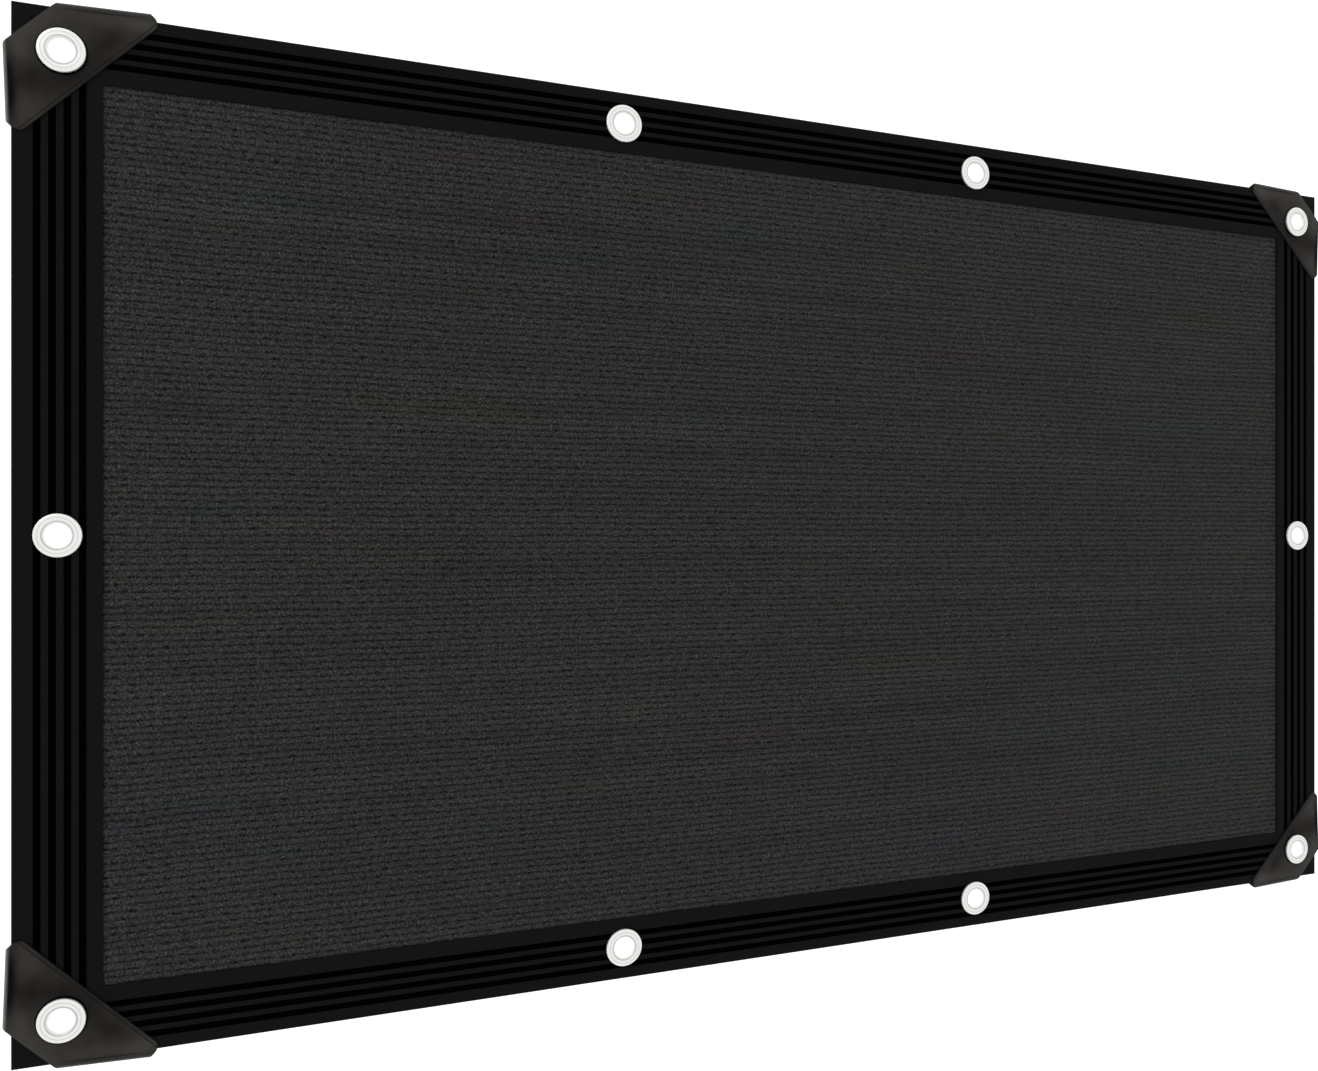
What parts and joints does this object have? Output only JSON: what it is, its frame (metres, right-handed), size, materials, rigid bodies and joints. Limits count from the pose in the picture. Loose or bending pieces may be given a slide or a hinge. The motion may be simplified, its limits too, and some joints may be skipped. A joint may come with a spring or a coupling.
{
  "type": "shade cloth",
  "caption": "Rectangular knitted shade cloth with a ribbed tape bound round its edge, a leather patch across each corner and metal eyelets to tie it up by.",
  "frame": {"origin": "the middle of the cloth, on the surface that it lies on", "axes": "+X along its length, +Y up its height as it hangs, +Z out of its face"},
  "size_m": [1.0084, 0.6086, 0.0102],
  "materials": {
    "net": "matt knitted net",
    "binding_tape": "matt woven tape with sewn channels",
    "corner_leather": "soft satin leather",
    "eyelet_metal": "bright satin",
    "thread": "matt thread"
  },
  "bodies": {
    "root": {"net_panel": "net", "tape_bottom": "binding_tape", "tape_top": "binding_tape", "tape_left": "binding_tape", "tape_right": "binding_tape", "patch_bottom_left": "corner_leather", "patch_bottom_right": "corner_leather", "patch_top_left": "corner_leather", "patch_top_right": "corner_leather", "eyelet_top_left": "eyelet_metal", "eyelet_top_near_left": "eyelet_metal", "eyelet_top_right": "eyelet_metal", "eyelet_top_near_right": "eyelet_metal", "eyelet_bottom_left": "eyelet_metal", "eyelet_bottom_near_left": "eyelet_metal", "eyelet_bottom_right": "eyelet_metal", "eyelet_bottom_near_right": "eyelet_metal", "eyelet_left_middle": "eyelet_metal", "eyelet_right_middle": "eyelet_metal", "washer_top_left": "eyelet_metal", "washer_top_near_left": "eyelet_metal", "washer_top_right": "eyelet_metal", "washer_top_near_right": "eyelet_metal", "washer_bottom_left": "eyelet_metal", "washer_bottom_near_left": "eyelet_metal", "washer_bottom_right": "eyelet_metal", "washer_bottom_near_right": "eyelet_metal", "washer_left_middle": "eyelet_metal", "washer_right_middle": "eyelet_metal"}
  },
  "joints": []
}
